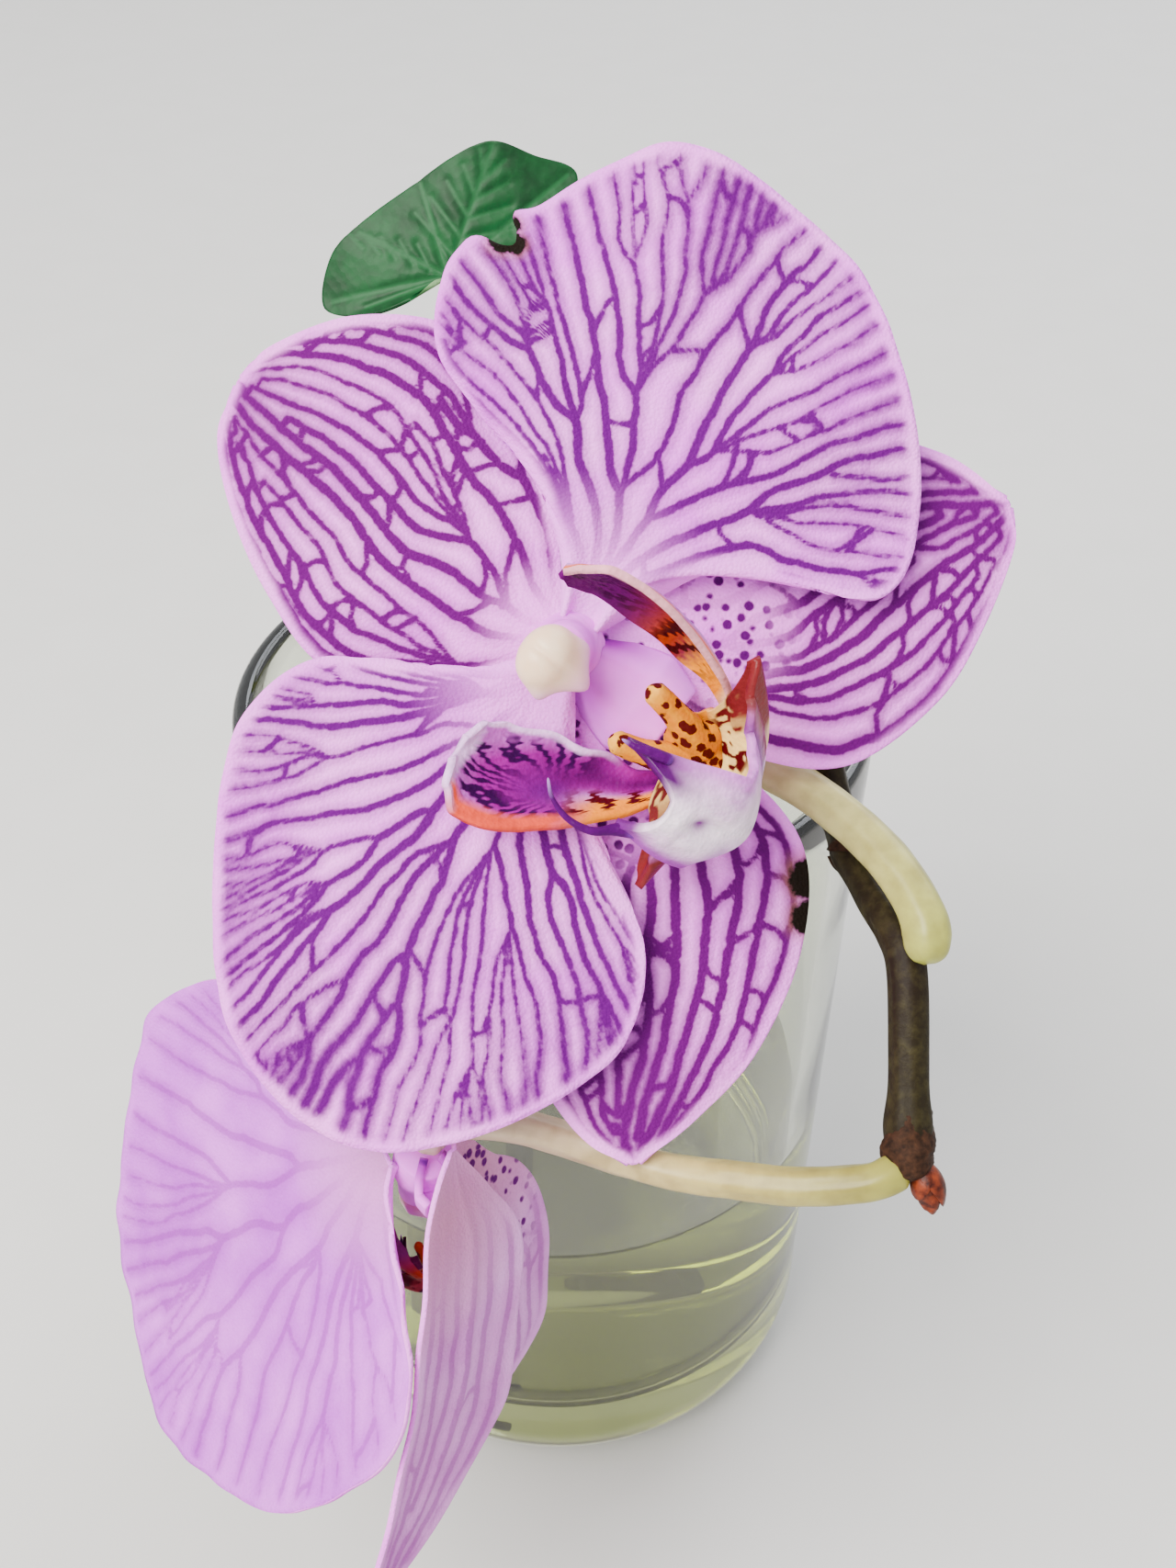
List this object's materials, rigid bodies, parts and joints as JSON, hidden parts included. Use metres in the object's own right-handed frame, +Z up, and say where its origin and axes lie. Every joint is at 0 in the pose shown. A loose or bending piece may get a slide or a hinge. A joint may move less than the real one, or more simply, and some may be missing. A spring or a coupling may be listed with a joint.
{
  "type": "orchid spray in a glass tumbler",
  "caption": "Cut moth-orchid spray with open flowers, a tip bud and a leaf, leaning in a clear tumbler of water.",
  "frame": {"origin": "middle of the underside of the tumbler, on the table", "axes": "+Z up, -Y towards the side the spray leans and flowers on, +X to the right of a viewer on that side"},
  "size_m": [0.091, 0.1354, 0.1737],
  "materials": {
    "glass": "clear drinking glass, smooth",
    "water": "still tap water, faintly green",
    "stem": "dark brown living stem with olive speckles",
    "bud": "red-brown stopped bud, waxy",
    "stalk": "pale yellow-green flower stalk, waxy",
    "leaf": "dark green leaf, satin",
    "leaf_stalk": "pale green leaf stalk, satin",
    "petal": "pale lilac petal with a net of purple veins, satin",
    "sepal": "pale lilac sepal with purple veins, satin",
    "column": "pale lilac column, waxy",
    "cap": "cream cap, waxy",
    "lip": "purple, orange and cream lip with dark streaks, waxy"
  },
  "bodies": {
    "root": {"glass_tumbler": "glass", "water": "water", "flower_spike": "stem", "tip_bud": "bud", "front_flower_stalk": "stalk", "hanging_flower_stalk": "stalk", "leaf": "leaf", "leaf_stalk": "leaf_stalk", "front_flower_dorsal_sepal": "sepal", "front_flower_petal_a": "petal", "front_flower_petal_b": "petal", "front_flower_lateral_sepal_a": "sepal", "front_flower_lateral_sepal_b": "sepal", "front_flower_column": "column", "front_flower_anther_cap": "cap", "front_flower_lip": "lip", "hanging_flower_dorsal_sepal": "sepal", "hanging_flower_petal_a": "petal", "hanging_flower_petal_b": "petal", "hanging_flower_lateral_sepal_a": "sepal", "hanging_flower_lateral_sepal_b": "sepal", "hanging_flower_column": "column", "hanging_flower_anther_cap": "cap", "hanging_flower_lip": "lip"}
  },
  "joints": []
}
